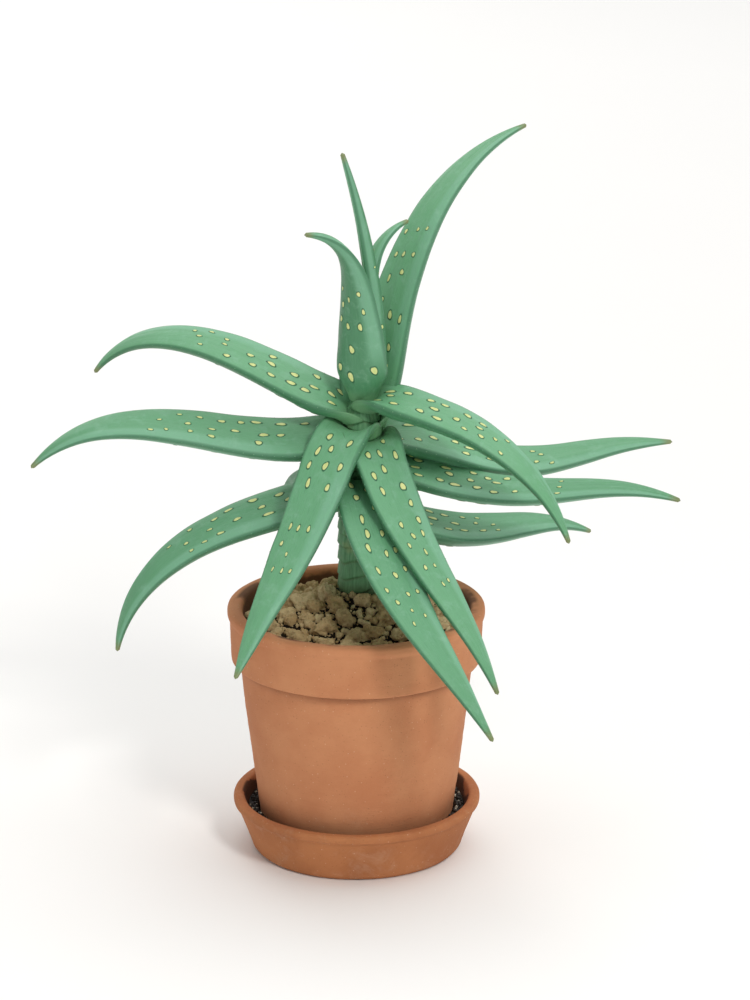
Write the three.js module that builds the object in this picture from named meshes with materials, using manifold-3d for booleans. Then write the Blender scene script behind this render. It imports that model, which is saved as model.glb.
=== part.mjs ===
// A young aloe with a short bare stem, growing in a terracotta pot that stands in its saucer.
// Millimetres, +Z up. The origin is the middle of the saucer's underside, on the pot's axis.
// +X is to the plant's right and +Y is behind it, when its fullest side faces the viewer.
import * as THREE from "three";
import { mergeVertices } from "three/addons/utils/BufferGeometryUtils.js";
import Module from "manifold-3d";

const wasm = await Module();
wasm.setup();

// ---- Driving dimensions ----

const ROUND_STEPS = 48; // flats around the pot, the saucer and the soil
const TOUCH_GAP = 0.3; // left between two pieces that grow or press against each other
const POT_STAND_ROOM = 2; // between the pot's foot and the saucer's wall
const SAUCER_FOOT_INSET = 0.5; // how much thinner the saucer's wall is at its foot

const SAUCER = {
  height: 30,
  lipReach: 16.5, // how far its lip stands out beyond the pot's foot
  lipDepth: 5,
  lipOverhang: 2,
  wall: 4,
  floor: 6,
  baseRound: 3,
  floorRound: 1.5,
};

const POT = {
  height: 134,
  rimDiameter: 142,
  bandDepth: 30,
  bandTaper: 2,
  bandStep: 4.5,
  lipDepth: 6, // a low roll along the top of the band
  lipStep: 0.9, // how far that roll stands out from the band
  baseDiameter: 104,
  wall: 6,
  floor: 8,
  drainHole: 16,
  lipRound: 2.5,
};

const SOIL = {
  edgeBelowRim: 8.5,
  crownAboveRim: 11,
};

// The stem leans a little as it rises. Its radii stand beside their heights above the soil's crown.
const STEM = {
  footX: 2,
  footY: 6,
  leanX: 2,
  radii: [
    [-33, 9],
    [-1, 12.5],
    [34, 13],
    [74, 12.5],
    [95, 10],
    [107, 6],
    [111, 3],
  ],
  sides: 16,
};

const ROOTS = {
  count: 6,
  crownRadius: 8,
  crownDepth: 24,
  length: 54,
  radius: 2.4,
  tipRadius: 0.9,
  sides: 6,
  steps: 7,
};

// What every leaf shares: how it leaves the stem and how its blade is shaped.
const LEAF = {
  stations: 15,
  sides: 12,
  sheathRise: 75, // degrees: a leaf starts nearly upright, clasping the stem
  sheathFade: 9, // mm over which it turns out to its own rise
  rootedIn: 3, // mm that its base starts inside the stem's surface
  claspRoom: 2, // how much wider its base curls than its own distance from the stem's axis
  claspTurn: 90, // degrees that its base wraps round the stem, each way
  claspFade: 11, // mm over which that curl opens out
  channelRadius: 120, // the shallow gutter along the blade
  crownShare: 0.2, // how far the upper face bulges, as a share of the leaf's thickness
  taper: 2.3, // the power that narrows the blade towards its tip
  swellAt: 0.16, // share of the length where the blade is fully wide and thick
  baseThickness: 0.35,
  tipRadius: 1.2,
};

// One row per leaf, youngest first: its name; how high above the soil's crown it leaves the stem;
// its heading, in degrees from +X towards +Y; how far the heading drifts by the tip; how far the
// blade is turned about its own length; its length, width and thickness; and the blade's slope in
// degrees at its base, one third, two thirds and tip.
const LEAVES = [
  ["leaf_centre_tall", 104, 0, 0, 0, 139, 11, 6, [91, 94, 100, 105]],
  ["leaf_centre_small", 95, 75, -45, 0, 116, 15, 6, [88, 93, 76, 12]],
  ["leaf_top_left", 106, -102, -64, 0, 113, 28, 8, [88, 88, 72, 0]],
  ["leaf_top_right", 89, 50, -12, 0, 201, 29, 8, [80, 69, 42, 8]],
  ["leaf_rear_high", 93, 97, 0, 0, 94, 21, 7, [64, 64, 50, 25]],
  ["leaf_right_front", 100, -36, 24, 15, 149, 24, 8, [-8, -13, -41, -72]],
  ["leaf_left_high", 93, 168, -5, -22, 163, 27, 9, [17, 23, 0, -57]],
  ["leaf_front_left", 85, -121, -6, 0, 161, 31, 8, [-45, -50, -44, -55]],
  ["leaf_front_right_high", 79, -72, 38, 0, 168, 27, 8, [-50, -41, -43, -66]],
  ["leaf_right_high", 76, 14, 0, 20, 172, 28, 9, [-18, -20, 8, -6]],
  ["leaf_left_middle", 75.5, 181, 2, -22, 180, 32, 9, [-20, 9, -2, -48]],
  ["leaf_rear", 71, 66, 0, 0, 145, 27, 8, [-6, -14, -26, -40]],
  ["leaf_right_middle", 61.5, -6, -2, 20, 167, 24, 8, [-30, -9, 6, -18]],
  ["leaf_front_low", 57, -88, 57, 0, 186, 32, 8, [-28, -34, -38, -56]],
  ["leaf_rear_low", 50, 112, 0, 0, 128, 27, 8, [-14, -19, -30, -45]],
  ["leaf_left_low", 43.5, 191, 3, -20, 165, 29, 9, [-18, -16, -40, -84]],
  ["leaf_right_low", 29, 28, 2, 18, 143, 30, 9, [-38, -16, -3, -30]],
].map(([name, height, heading, swing, turn, length, width, thickness, rise]) => {
  return { name, height, heading, swing, turn, length, width, thickness, rise };
});

const COLOURS = {
  clay: { color: 0xc4845c, roughness: 0.9, metalness: 0 },
  saucerClay: { color: 0xa66c44, roughness: 0.9, metalness: 0 },
  soil: { color: 0x8c7652, roughness: 1, metalness: 0 },
  stem: { color: 0x5a9066, roughness: 0.6, metalness: 0 },
  root: { color: 0xcdb98a, roughness: 0.8, metalness: 0 },
  leaf: { color: 0x66a57f, roughness: 0.45, metalness: 0 },
};

// ---- Sizes that follow from them ----

const POT_BOTTOM = SAUCER.floor;
const RIM_TOP = POT_BOTTOM + POT.height;
const SOIL_EDGE_TOP = RIM_TOP - SOIL.edgeBelowRim;
const SOIL_CROWN_TOP = RIM_TOP + SOIL.crownAboveRim;
const bodyTopRadius = POT.rimDiameter / 2 - POT.bandTaper - POT.bandStep;
const baseRadius = POT.baseDiameter / 2;
const stemRings = STEM.radii.map(([height, radius]) => [SOIL_CROWN_TOP + height, radius]);
const STEM_BOTTOM = stemRings[0][0];
const STEM_TOP = stemRings.at(-1)[0];

// The pot's inner wall runs straight from its floor to its rim.
function potInnerRadius(z) {
  const low = baseRadius - POT.wall;
  const high = POT.rimDiameter / 2 - POT.wall - POT.bandTaper;
  const from = POT_BOTTOM + POT.floor;
  return low + ((high - low) * (z - from)) / (RIM_TOP - from);
}

// ---- Solids ----

function solidOf(geometry) {
  const bare = geometry.clone();
  bare.deleteAttribute("normal");
  bare.deleteAttribute("uv");
  const merged = mergeVertices(bare, 1e-4);
  return new wasm.Manifold(
    new wasm.Mesh({
      numProp: 3,
      vertProperties: new Float32Array(merged.attributes.position.array),
      triVerts: new Uint32Array(merged.index.array),
    }),
  );
}

// Cutting a base can leave loose flakes beside it, and only the largest piece is the part.
function largestOf(solid) {
  return solid.decompose().reduce((a, b) => (b.volume() > a.volume() ? b : a));
}

function geometryOf(solid) {
  const mesh = solid.getMesh();
  const geometry = new THREE.BufferGeometry();
  geometry.setAttribute("position", new THREE.BufferAttribute(mesh.vertProperties, mesh.numProp));
  geometry.setIndex(new THREE.BufferAttribute(mesh.triVerts, 1));
  geometry.computeVertexNormals();
  return geometry;
}

// Revolves a closed profile of [radius, height, rounding] corners about +Z.
function turned(corners) {
  const path = new THREE.Path();
  corners.forEach(([r, z, round = 0], i) => {
    const corner = new THREE.Vector2(r, z);
    const towards = (other) => {
      const next = new THREE.Vector2(other[0], other[1]);
      const reach = Math.min(round, corner.distanceTo(next) / 2);
      return corner.clone().add(next.sub(corner).setLength(reach));
    };
    const start = towards(corners.at(i - 1));
    const end = towards(corners[(i + 1) % corners.length]);
    if (i === 0) path.moveTo(start.x, start.y);
    else path.lineTo(start.x, start.y);
    if (round > 0) path.quadraticCurveTo(corner.x, corner.y, end.x, end.y);
  });
  path.closePath();
  const points = path.getPoints(2);
  points[points.length - 1] = points[0].clone();
  return new THREE.LatheGeometry(points, ROUND_STEPS).rotateX(Math.PI / 2);
}

// A skin over rings of points with as many points each, closed by a fan at both ends.
function lofted(rings, startPoint, endPoint) {
  const sides = rings[0].length;
  const points = [...rings.flat(), startPoint, endPoint];
  const first = rings.length * sides;
  const faces = [];
  for (let i = 0; i < rings.length - 1; i++) {
    for (let j = 0; j < sides; j++) {
      const a = i * sides + j;
      const b = i * sides + ((j + 1) % sides);
      faces.push(a, b, a + sides, b, b + sides, a + sides);
    }
  }
  const last = first - sides;
  for (let j = 0; j < sides; j++) {
    const k = (j + 1) % sides;
    faces.push(first, k, j);
    faces.push(first + 1, last + j, last + k);
  }
  const geometry = new THREE.BufferGeometry().setFromPoints(points);
  geometry.setIndex(faces);
  return geometry;
}

// ---- The stem and its roots ----

function stemRadius(z) {
  const i = Math.max(1, stemRings.findIndex(([height]) => height >= z));
  const [z0, r0] = stemRings[i - 1];
  const [z1, r1] = stemRings[i];
  return r0 + ((r1 - r0) * (z - z0)) / (z1 - z0);
}

function stemCentre(z) {
  const share = (z - STEM_BOTTOM) / (STEM_TOP - STEM_BOTTOM);
  return new THREE.Vector3(STEM.footX + STEM.leanX * share, STEM.footY, z);
}

// A ring of points about a centre, in the plane of two unit vectors.
function ring(centre, u, v, radius, sides) {
  return Array.from({ length: sides }, (_, j) => {
    const angle = (2 * Math.PI * j) / sides;
    return centre
      .clone()
      .addScaledVector(u, radius * Math.cos(angle))
      .addScaledVector(v, radius * Math.sin(angle));
  });
}

const X = new THREE.Vector3(1, 0, 0);
const Y = new THREE.Vector3(0, 1, 0);

function stemSolid(grow = 0) {
  const rings = stemRings.map(([z, r]) => ring(stemCentre(z), X, Y, r + grow, STEM.sides));
  const low = stemCentre(STEM_BOTTOM);
  const high = stemCentre(STEM_TOP);
  low.z -= grow;
  high.z += 1 + grow;
  return solidOf(lofted(rings, low, high));
}

// One root: it leaves the root crown sideways and dives towards the pot's floor.
function rootSolid(k, grow) {
  const heading = (2 * Math.PI * (k + 0.3)) / ROOTS.count;
  const out = new THREE.Vector3(Math.cos(heading), Math.sin(heading), 0);
  const side = new THREE.Vector3(-out.y, out.x, 0);
  const at = stemCentre(STEM_BOTTOM);
  at.z -= ROOTS.crownDepth * (0.3 + 0.08 * (k % 3));
  const step = ROOTS.length / ROOTS.steps;
  const rings = [];
  for (let i = 0; i <= ROOTS.steps; i++) {
    const t = i / ROOTS.steps;
    const dive = THREE.MathUtils.degToRad(20 + 60 * t);
    const along = out.clone().multiplyScalar(Math.cos(dive));
    along.z = -Math.sin(dive);
    const radius = THREE.MathUtils.lerp(ROOTS.radius, ROOTS.tipRadius, t) + grow;
    rings.push(ring(at, new THREE.Vector3().crossVectors(side, along), side, radius, ROOTS.sides));
    at.addScaledVector(along, i < ROOTS.steps ? step : ROOTS.tipRadius + grow);
  }
  const start = rings[0].reduce((sum, p) => sum.add(p), new THREE.Vector3());
  return solidOf(lofted(rings, start.divideScalar(ROOTS.sides), at));
}

// The root crown carries on below the stem, and the roots leave it.
function rootsSolid(grow = 0) {
  const top = stemCentre(STEM_BOTTOM);
  top.z += grow - TOUCH_GAP;
  const bottom = top.clone();
  bottom.z -= ROOTS.crownDepth + 2 * grow;
  const rings = [
    ring(bottom, X, Y, ROOTS.crownRadius / 3 + grow, STEM.sides),
    ring(top, X, Y, ROOTS.crownRadius + grow, STEM.sides),
  ];
  let all = solidOf(lofted(rings, bottom, top));
  for (let k = 0; k < ROOTS.count; k++) all = all.add(rootSolid(k, grow));
  return all;
}

// ---- The leaves ----

// A smooth curve through evenly spaced values, at a share t of the way along them.
function smoothly(values, t) {
  const spans = values.length - 1;
  const i = Math.min(Math.floor(t * spans), spans - 1);
  const x = t * spans - i;
  const b = values[i];
  const c = values[i + 1];
  const a = i > 0 ? values[i - 1] : 2 * b - c;
  const d = i + 2 <= spans ? values[i + 2] : 2 * c - b;
  return b + (x * (c - a + x * (2 * a - 5 * b + 4 * c - d + x * (3 * (b - c) + d - a)))) / 2;
}

// The leaf's frame at a share s of its length: along the blade, across it, and out of its face.
function leafFrame(leaf, s) {
  const settled = 1 - Math.exp((-s * leaf.length) / LEAF.sheathFade);
  const own = smoothly(leaf.rise, s);
  const rise = THREE.MathUtils.degToRad(THREE.MathUtils.lerp(LEAF.sheathRise, own, settled));
  const heading = THREE.MathUtils.degToRad(leaf.heading + leaf.swing * s);
  const along = new THREE.Vector3(
    Math.cos(rise) * Math.cos(heading),
    Math.cos(rise) * Math.sin(heading),
    Math.sin(rise),
  );
  const across = new THREE.Vector3(-Math.sin(heading), Math.cos(heading), 0);
  across.applyAxisAngle(along, THREE.MathUtils.degToRad(leaf.turn * settled));
  const face = new THREE.Vector3().crossVectors(along, across);
  return { along, across, face };
}

// Where a leaf starts, inside the stem's surface.
function leafRoot(leaf) {
  const height = SOIL_CROWN_TOP + leaf.height;
  const inset = Math.max(stemRadius(height) - LEAF.rootedIn, 1);
  const heading = THREE.MathUtils.degToRad(leaf.heading);
  const out = new THREE.Vector3(Math.cos(heading), Math.sin(heading), 0);
  return { inset, at: stemCentre(height).addScaledVector(out, inset) };
}

// One cross-section: a lens with a nearly flat upper face and a full, rounded underside, which curls
// into a crescent round the stem at the leaf's base.
function leafSection(leaf, s, at, grow) {
  const { across, face } = leafFrame(leaf, s);
  const travelled = s * leaf.length;
  const swell = THREE.MathUtils.smoothstep(s, 0, LEAF.swellAt);
  const narrowing = 1 - s ** LEAF.taper;
  const thickShare = THREE.MathUtils.lerp(LEAF.baseThickness, 1, swell) * narrowing;
  const claspRadius = leafRoot(leaf).inset + LEAF.claspRoom;
  const claspWidth = claspRadius * THREE.MathUtils.degToRad(LEAF.claspTurn);
  const spread = THREE.MathUtils.lerp(claspWidth, (leaf.width / 2) * narrowing, swell);
  const half = spread + LEAF.tipRadius + grow;
  const depth = leaf.thickness * thickShare + LEAF.tipRadius + grow;
  const crown = leaf.thickness * LEAF.crownShare * thickShare + LEAF.tipRadius + grow;
  const clasp = Math.exp(-travelled / LEAF.claspFade);
  const bend = THREE.MathUtils.lerp(1 / LEAF.channelRadius, 1 / claspRadius, clasp);
  return Array.from({ length: LEAF.sides }, (_, j) => {
    const angle = (2 * Math.PI * j) / LEAF.sides;
    const x = half * Math.cos(angle);
    const lift = Math.sin(angle);
    const y = lift > 0 ? crown * lift : -depth * (-lift) ** 1.3;
    const arm = 1 / bend - y;
    return at
      .clone()
      .addScaledVector(across, arm * Math.sin(bend * x))
      .addScaledVector(face, 1 / bend - arm * Math.cos(bend * x));
  });
}

function leafSolid(leaf, grow = 0) {
  const { at } = leafRoot(leaf);
  const start = at.clone().addScaledVector(leafFrame(leaf, 0).along, -grow);
  const rings = grow > 0 ? [leafSection(leaf, 0, start, grow)] : [];
  let s = 0;
  for (let i = 0; i <= LEAF.stations; i++) {
    const t = i / LEAF.stations;
    const next = (t + (1 - Math.cos(Math.PI * t)) / 2) / 2;
    const steps = 6;
    for (let k = 0; k < steps && next > s; k++) {
      const middle = s + ((k + 0.5) * (next - s)) / steps;
      at.addScaledVector(leafFrame(leaf, middle).along, ((next - s) * leaf.length) / steps);
    }
    s = next;
    rings.push(leafSection(leaf, s, at, grow));
  }
  const tip = at.clone().addScaledVector(leafFrame(leaf, 1).along, LEAF.tipRadius + grow);
  return solidOf(lofted(rings, start, tip));
}

// ---- The pot, its saucer and the soil ----

function saucerGeometry() {
  const lip = baseRadius + SAUCER.lipReach;
  const underLip = lip - SAUCER.lipOverhang;
  const innerTop = underLip - SAUCER.wall;
  const innerFloor = baseRadius + POT_STAND_ROOM;
  const base = innerFloor + SAUCER.wall - SAUCER_FOOT_INSET;
  return turned([
    [0, 0],
    [base, 0, SAUCER.baseRound],
    [underLip, SAUCER.height - SAUCER.lipDepth, 1],
    [lip, SAUCER.height - SAUCER.lipDepth + 1, 1.5],
    [lip - 0.5, SAUCER.height, 2],
    [innerTop, SAUCER.height, 1.5],
    [innerFloor, SAUCER.floor, SAUCER.floorRound],
    [0, SAUCER.floor],
  ]);
}

function potGeometry() {
  const rim = POT.rimDiameter / 2;
  const bandBottom = RIM_TOP - POT.bandDepth;
  const hole = POT.drainHole / 2;
  const inside = POT_BOTTOM + POT.floor;
  return turned([
    [hole, POT_BOTTOM],
    [baseRadius, POT_BOTTOM, 2],
    [bodyTopRadius, bandBottom, 2],
    [rim - POT.bandTaper, bandBottom, 2.5],
    [rim - POT.lipStep, RIM_TOP - POT.lipDepth, 1.5],
    [rim, RIM_TOP - POT.lipDepth + 1.5, 1.5],
    [rim, RIM_TOP, POT.lipRound],
    [potInnerRadius(RIM_TOP), RIM_TOP, POT.lipRound],
    [potInnerRadius(inside), inside],
    [hole, inside],
  ]);
}

// A low mound, cut to take the stem and its roots.
function soilSolid() {
  const inside = POT_BOTTOM + POT.floor;
  const slopes = 6;
  const edge = potInnerRadius(SOIL_EDGE_TOP) - TOUCH_GAP;
  const crown = Array.from({ length: slopes }, (_, i) => {
    const share = i / slopes;
    const rise = (1 + Math.cos(Math.PI * (1 - share))) / 2;
    const domed = (rise + share) / 2;
    return [edge * (1 - share), SOIL_EDGE_TOP + (SOIL_CROWN_TOP - SOIL_EDGE_TOP) * domed];
  });
  const body = turned([
    [0, inside],
    [potInnerRadius(inside) - TOUCH_GAP, inside],
    ...crown,
    [0, SOIL_CROWN_TOP],
  ]);
  return largestOf(solidOf(body).subtract(stemSolid(TOUCH_GAP)).subtract(rootsSolid(TOUCH_GAP)));
}

// ---- Assembly ----

const aloe = new THREE.Group();

function addPiece(name, geometry, finish) {
  const piece = new THREE.Mesh(geometry, new THREE.MeshStandardMaterial(finish));
  piece.name = name;
  aloe.add(piece);
}

addPiece("saucer", saucerGeometry(), COLOURS.saucerClay);
addPiece("pot", potGeometry(), COLOURS.clay);
addPiece("soil", geometryOf(soilSolid()), COLOURS.soil);
addPiece("roots", geometryOf(rootsSolid()), COLOURS.root);
addPiece("stem", geometryOf(stemSolid()), COLOURS.stem);

// Each leaf gives way to the stem and to every younger leaf, which it clasps.
let inner = stemSolid(TOUCH_GAP);
for (const leaf of LEAVES) {
  const blade = largestOf(leafSolid(leaf).subtract(inner));
  addPiece(leaf.name, geometryOf(blade), COLOURS.leaf);
  inner = inner.add(leafSolid(leaf, TOUCH_GAP));
}

export default aloe;
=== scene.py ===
"""A young spotted aloe in its clay pot and saucer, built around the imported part.

Sizes are millimetres in the working code, and become metres where a mesh is made.
+Z is up, +X is to the plant's right and +Y is behind it.
"""
import math

import bmesh
import bpy
import numpy as np
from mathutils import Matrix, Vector


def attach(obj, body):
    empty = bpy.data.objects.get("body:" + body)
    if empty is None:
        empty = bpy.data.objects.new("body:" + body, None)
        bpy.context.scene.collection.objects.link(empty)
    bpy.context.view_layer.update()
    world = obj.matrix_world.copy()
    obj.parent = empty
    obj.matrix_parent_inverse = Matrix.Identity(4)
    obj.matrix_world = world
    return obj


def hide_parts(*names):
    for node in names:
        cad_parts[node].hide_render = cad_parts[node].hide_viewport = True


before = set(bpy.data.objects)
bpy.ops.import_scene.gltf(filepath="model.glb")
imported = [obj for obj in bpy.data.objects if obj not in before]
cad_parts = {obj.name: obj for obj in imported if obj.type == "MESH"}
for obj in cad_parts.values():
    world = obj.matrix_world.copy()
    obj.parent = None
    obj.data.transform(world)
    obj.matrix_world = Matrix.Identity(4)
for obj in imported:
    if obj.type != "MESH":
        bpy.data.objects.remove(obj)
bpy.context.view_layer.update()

MM = 0.001
ROOT = "root"

# How finely the skins are divided.
FINE = 2
TURNED_SIDES = 140 * FINE
PROFILE_STEP = 2.6 / FINE
BED_SIDES = 120 * FINE
SOIL_SIDES = 110 * FINE
SOIL_RINGS = 32 * FINE
STEM_SIDES = 64 * FINE
STEM_RINGS = 130 * FINE
LEAF_SIDES = 36 * FINE
LEAF_STATIONS = 90 * FINE
SPOT_SIDES = 9 * FINE

# ---- Sizes shared with the part ----

SAUCER_HEIGHT = 30
SAUCER_FLOOR = 6
SAUCER_LIP_RADIUS = 68.5
SAUCER_UNDER_LIP_RADIUS = 66.5
SAUCER_INNER_RADIUS = 62.5
SAUCER_LIP_DEPTH = 5
SAUCER_INNER_FOOT_RADIUS = 54
SAUCER_FOOT_RADIUS = 57.5

POT_BOTTOM = SAUCER_FLOOR
POT_FLOOR = 8
RIM_TOP = 140
RIM_RADIUS = 71
RIM_LOW_RADIUS = 69
RIM_INNER_RADIUS = 63
BAND_DEPTH = 30
LIP_DEPTH = 6
LIP_STEP = 0.9
BODY_TOP_RADIUS = 64.5
FOOT_RADIUS = 52
FOOT_INNER_RADIUS = 46
DRAIN_RADIUS = 8

SOIL_EDGE_TOP = 131.5
SOIL_CROWN_TOP = 151

STEM_FOOT = (2, 6)
STEM_LEAN = 2
STEM_RADII = ((-33, 9), (-1, 12.5), (34, 13), (74, 12.5), (95, 10), (107, 6), (111, 3))
STEM_BOTTOM = SOIL_CROWN_TOP + STEM_RADII[0][0]
STEM_TOP = SOIL_CROWN_TOP + STEM_RADII[-1][0]

SHEATH_RISE = 75  # slope of every leaf's base, in degrees
SHEATH_FADE = 9  # how soon the blade leaves that slope
ROOTED_IN = 3  # how deep the base starts inside the stem
CLASP_ROOM = 2  # how much wider than the base's depth its curl round the stem is
CLASP_TURN = 90  # half of the angle that the base curls through
CLASP_FADE = 11  # how soon the curl opens
CHANNEL_RADIUS = 120  # curl of the open blade
CROWN_SHARE = 0.2  # the upper face's share of the thickness
TAPER = 2.3  # the larger, the nearer to the tip the blade narrows
SWELL_AT = 0.16  # share of the length where the full width is reached
BASE_THICKNESS = 0.35  # the base's share of the full thickness
TIP_RADIUS = 1.2

# Youngest first: name, height above the soil's crown, heading and its drift, turn about its own
# length, length, width, thickness, and the slope at the base, one third, two thirds and the tip.
LEAVES = (
    ("leaf_centre_tall", 104, 0, 0, 0, 139, 11, 6, (91, 94, 100, 105)),
    ("leaf_centre_small", 95, 75, -45, 0, 116, 15, 6, (88, 93, 76, 12)),
    ("leaf_top_left", 106, -102, -64, 0, 113, 28, 8, (88, 88, 72, 0)),
    ("leaf_top_right", 89, 50, -12, 0, 201, 29, 8, (80, 69, 42, 8)),
    ("leaf_rear_high", 93, 97, 0, 0, 94, 21, 7, (64, 64, 50, 25)),
    ("leaf_right_front", 100, -36, 24, 15, 149, 24, 8, (-8, -13, -41, -72)),
    ("leaf_left_high", 93, 168, -5, -22, 163, 27, 9, (17, 23, 0, -57)),
    ("leaf_front_left", 85, -121, -6, 0, 161, 31, 8, (-45, -50, -44, -55)),
    ("leaf_front_right_high", 79, -72, 38, 0, 168, 27, 8, (-50, -41, -43, -66)),
    ("leaf_right_high", 76, 14, 0, 20, 172, 28, 9, (-18, -20, 8, -6)),
    ("leaf_left_middle", 75.5, 181, 2, -22, 180, 32, 9, (-20, 9, -2, -48)),
    ("leaf_rear", 71, 66, 0, 0, 145, 27, 8, (-6, -14, -26, -40)),
    ("leaf_right_middle", 61.5, -6, -2, 20, 167, 24, 8, (-30, -9, 6, -18)),
    ("leaf_front_low", 57, -88, 57, 0, 186, 32, 8, (-28, -34, -38, -56)),
    ("leaf_rear_low", 50, 112, 0, 0, 128, 27, 8, (-14, -19, -30, -45)),
    ("leaf_left_low", 43.5, 191, 3, -20, 165, 29, 9, (-18, -16, -40, -84)),
    ("leaf_right_low", 29, 28, 2, 18, 143, 30, 9, (-38, -16, -3, -30)),
)

# ---- Camera, light and floor ----

CAMERA_ELEVATION = 18.5
CAMERA_DISTANCE = 2500
CAMERA_AIM = (10.3, 0, 200.4)
CAMERA_LENS = 165.2


def make_camera():
    tilt = math.radians(CAMERA_ELEVATION)
    aim = Vector(CAMERA_AIM) * MM
    back = Vector((0, -math.cos(tilt), math.sin(tilt)))
    data = bpy.data.cameras.new("camera")
    data.sensor_width = 36
    data.lens = CAMERA_LENS
    data.clip_start = 0.05
    data.clip_end = 60
    camera = bpy.data.objects.new("camera", data)
    camera.location = aim + back * CAMERA_DISTANCE * MM
    camera.rotation_euler = (-back).to_track_quat("-Z", "Y").to_euler()
    bpy.context.collection.objects.link(camera)
    bpy.context.scene.camera = camera


def soft_light(name, place, target, size, power, colour):
    data = bpy.data.lights.new(name, "AREA")
    data.shape = "DISK"
    data.size = size
    data.energy = power
    data.color = colour
    light = bpy.data.objects.new(name, data)
    light.location = place
    aim = Vector(target) - Vector(place)
    light.rotation_euler = aim.to_track_quat("-Z", "Y").to_euler()
    bpy.context.collection.objects.link(light)


def even_light(strength, spread):
    """A wide, even light from overhead and a little behind, like a white ceiling."""
    data = bpy.data.lights.new("ceiling", "SUN")
    data.energy = strength
    data.angle = math.radians(spread)
    light = bpy.data.objects.new("ceiling", data)
    light.rotation_euler = (math.radians(-20), math.radians(12), 0)
    bpy.context.collection.objects.link(light)


def make_lights():
    middle = (0, 0, 0.2)
    soft_light("key", (0.95, -2.0, 2.1), middle, 0.6, 29, (1.0, 0.985, 0.96))
    soft_light("fill", (-1.9, -1.4, 0.8), middle, 1.4, 2, (0.95, 0.975, 1.0))
    soft_light("rear", (-0.9, 2.2, 1.1), middle, 1.4, 7, (1.0, 1.0, 1.0))
    even_light(1.55, 75)
    world = bpy.data.worlds.new("pale_room")
    world.use_nodes = True
    background = world.node_tree.nodes["Background"]
    background.inputs["Color"].default_value = (1, 1, 1, 1)
    background.inputs["Strength"].default_value = 0.42
    bpy.context.scene.world = world
    bpy.context.scene.view_settings.view_transform = "Standard"


# ---- Node materials ----


def linear(code):
    """A hex colour, as the linear RGBA that shaders take."""
    parts = [int(code[i : i + 2], 16) / 255 for i in (1, 3, 5)]
    return [c / 12.92 if c <= 0.04045 else ((c + 0.055) / 1.055) ** 2.4 for c in parts] + [1.0]


class Shading:
    """A material's node tree, with short ways to make and join its nodes."""

    def __init__(self, name, roughness):
        self.material = bpy.data.materials.new(name)
        self.material.use_nodes = True
        self.tree = self.material.node_tree
        self.shader = self.tree.nodes["Principled BSDF"]
        self.shader.inputs["Roughness"].default_value = roughness

    def node(self, kind, **settings):
        made = self.tree.nodes.new(kind)
        for key, value in settings.items():
            setattr(made, key, value)
        return made

    def feed(self, socket, value):
        if isinstance(value, bpy.types.NodeSocket):
            self.tree.links.new(value, socket)
        else:
            socket.default_value = value

    def place(self):
        return self.node("ShaderNodeTexCoord").outputs["Object"]

    def attribute(self, name):
        return self.node("ShaderNodeAttribute", attribute_name=name).outputs["Fac"]

    def height(self):
        split = self.node("ShaderNodeSeparateXYZ")
        self.feed(split.inputs[0], self.place())
        return split.outputs["Z"]

    def join(self, x, y, z=0.0):
        made = self.node("ShaderNodeCombineXYZ")
        for socket, value in zip(made.inputs, (x, y, z)):
            self.feed(socket, value)
        return made.outputs[0]

    def math(self, how, a, b=0.0):
        made = self.node("ShaderNodeMath", operation=how)
        self.feed(made.inputs[0], a)
        self.feed(made.inputs[1], b)
        return made.outputs[0]

    def span(self, value, low, high, to_low=0.0, to_high=1.0):
        made = self.node("ShaderNodeMapRange", interpolation_type="SMOOTHSTEP")
        for socket, setting in zip(made.inputs[:5], (value, low, high, to_low, to_high)):
            self.feed(socket, setting)
        return made.outputs[0]

    def noise(self, place, scale, detail=3.0, roughness=0.55, distortion=0.0):
        made = self.node("ShaderNodeTexNoise")
        self.feed(made.inputs["Vector"], place)
        self.feed(made.inputs["Scale"], scale)
        self.feed(made.inputs["Detail"], detail)
        self.feed(made.inputs["Roughness"], roughness)
        self.feed(made.inputs["Distortion"], distortion)
        return made.outputs["Fac"]

    def cells(self, place, scale, feature="F1"):
        made = self.node("ShaderNodeTexVoronoi", feature=feature)
        self.feed(made.inputs["Vector"], place)
        self.feed(made.inputs["Scale"], scale)
        return made.outputs["Distance"]

    def mix(self, share, a, b, how="MIX"):
        made = self.node("ShaderNodeMix", data_type="RGBA", blend_type=how)
        self.feed(made.inputs[0], share)
        self.feed(made.inputs[6], a)
        self.feed(made.inputs[7], b)
        return made.outputs[2]

    def bump(self, height, distance, strength=1.0, onto=None):
        made = self.node("ShaderNodeBump")
        self.feed(made.inputs["Height"], height)
        made.inputs["Distance"].default_value = distance
        made.inputs["Strength"].default_value = strength
        if onto:
            self.feed(made.inputs["Normal"], onto)
        return made.outputs[0]

    def finish(self, colour, roughness=None, normal=None, **shader):
        self.feed(self.shader.inputs["Base Color"], colour)
        if roughness is not None:
            self.feed(self.shader.inputs["Roughness"], roughness)
        if normal is not None:
            self.feed(self.shader.inputs["Normal"], normal)
        for key, value in shader.items():
            self.shader.inputs[key.replace("_", " ")].default_value = value
        return self.material


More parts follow.
